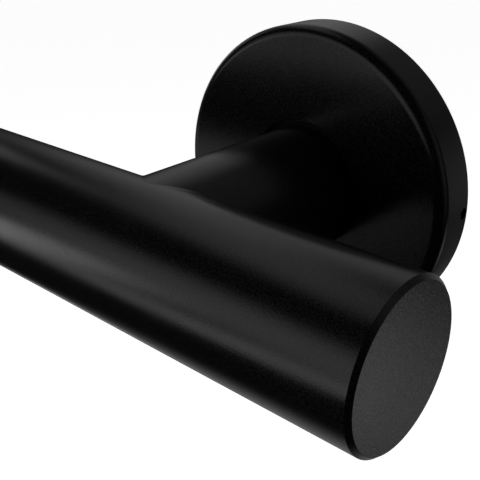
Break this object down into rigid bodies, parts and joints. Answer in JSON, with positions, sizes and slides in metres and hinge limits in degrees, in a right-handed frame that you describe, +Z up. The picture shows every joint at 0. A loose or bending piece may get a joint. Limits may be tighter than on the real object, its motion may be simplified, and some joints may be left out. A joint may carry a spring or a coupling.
{
  "type": "grab bar",
  "caption": "Straight round wall-mounted grab bar on short posts, each foot hidden by a round cover flange, in matte black.",
  "frame": {"origin": "centre of the right foot on the wall plane, which is also the centre of its screw circle", "axes": "+X along the rail from the left post to the right post, +Y into the wall, +Z up"},
  "size_m": [0.735, 0.0819, 0.0804],
  "materials": {
    "rail_coating": "matte black powder coat",
    "cover_coating": "matte black powder coat",
    "base_coating": "matte black powder coat",
    "screw_steel": "black oxide"
  },
  "bodies": {
    "root": {"rail_tube": "rail_coating", "right_end_cap": "rail_coating", "left_end_cap": "rail_coating", "right_post": "rail_coating", "left_post": "rail_coating", "right_mounting_base": "base_coating", "left_mounting_base": "base_coating", "right_cover_flange": "cover_coating", "left_cover_flange": "cover_coating", "set_screws": "screw_steel"}
  },
  "joints": []
}
